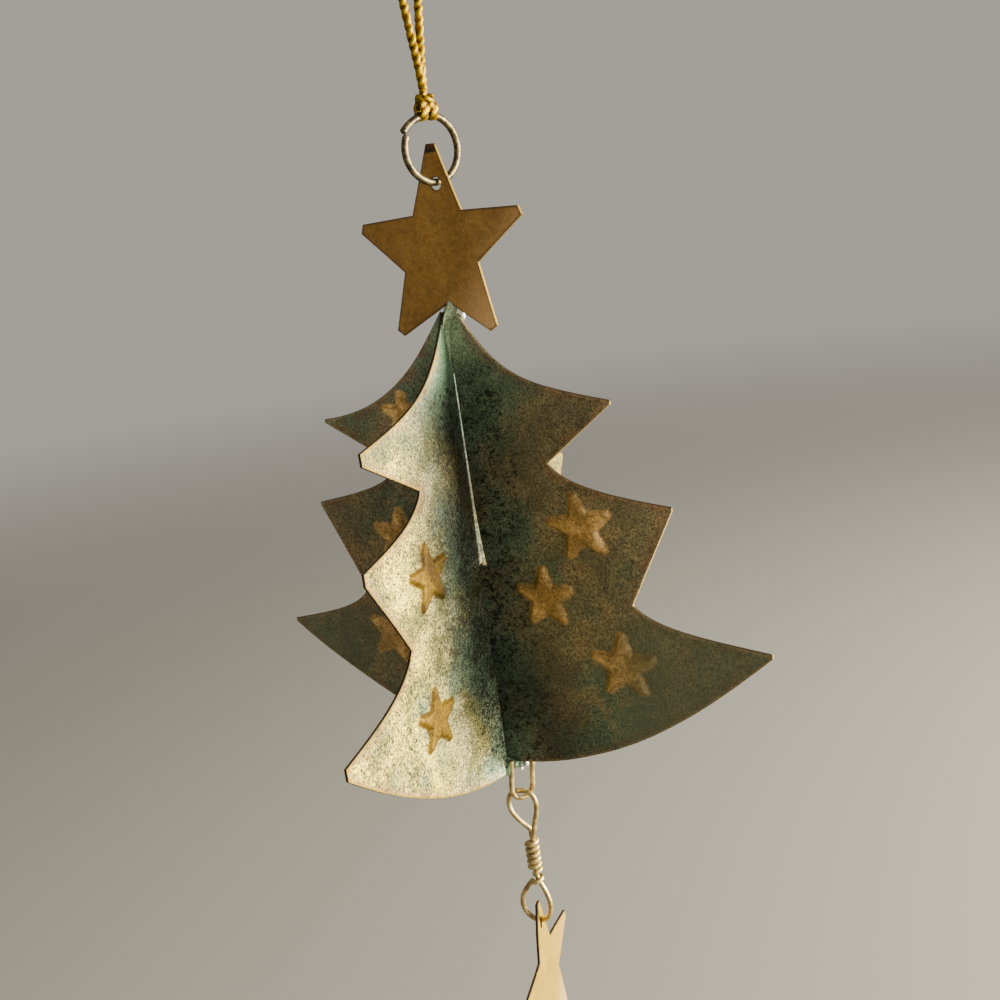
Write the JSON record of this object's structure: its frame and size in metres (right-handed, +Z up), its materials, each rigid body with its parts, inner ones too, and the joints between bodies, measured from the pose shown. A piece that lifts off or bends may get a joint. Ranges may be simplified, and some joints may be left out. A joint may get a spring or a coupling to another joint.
{
  "type": "hanging ornament",
  "caption": "Sheet-metal tree of crossed vanes with a flat star on top and a smaller hanging part below: a star on a twisted wire link, all on a looped cord.",
  "frame": {"origin": "the point where the cord loop bears on whatever it hangs from, on the plumb line of the whole ornament", "axes": "+Z up along the plumb line, +X along the side plate towards the right-hand vane, +Y along the front plate away from the viewer"},
  "size_m": [0.1004, 0.0988, 0.2148],
  "materials": {
    "cord": "metallic gold braid",
    "ring_wire": "tarnished, worn bright in places",
    "star_sheet": "lacquered, mottled",
    "patina_sheet": "green patina over brass, gold raised stars",
    "solder": "soft solder, partly patinated",
    "brass_wire": "dull, worn bright"
  },
  "bodies": {
    "cord": {"hanging_cord": "cord"},
    "hitch": {"cord_hitch": "cord"},
    "ring": {"top_ring": "ring_wire"},
    "tree": {"top_star": "star_sheet", "star_solder": "solder", "side_plate": "patina_sheet", "front_plate": "patina_sheet", "foot_loop": "brass_wire", "foot_solder": "solder"},
    "link": {"twisted_link": "brass_wire"},
    "pendant": {"pendant_star": "star_sheet"}
  },
  "joints": [
    {"name": "cord_twist", "type": "hinge", "parent": "cord", "child": "hitch", "pos_m": [0, 0, -0.0261], "axis": [0, 0, 1], "range_deg": [-180, 180]},
    {"name": "ring_roll", "type": "hinge", "parent": "hitch", "child": "ring", "pos_m": [0, 0, -0.03553], "axis": [-0.9272, 0.3746, 0], "range_deg": [-30, 30]},
    {"name": "tree_swing", "type": "hinge", "parent": "ring", "child": "tree", "pos_m": [0, 0, -0.04108], "axis": [0.3746, 0.9272, 0], "range_deg": [-60, 60]},
    {"name": "link_swing", "type": "hinge", "parent": "tree", "child": "link", "pos_m": [-0.0004, 0, -0.15825], "axis": [0.6157, 0.788, 0], "range_deg": [-45, 24]},
    {"name": "pendant_swing", "type": "hinge", "parent": "link", "child": "pendant", "pos_m": [-0.0004, 0, -0.18563], "axis": [1, 0, 0], "range_deg": [-60, 60]}
  ]
}
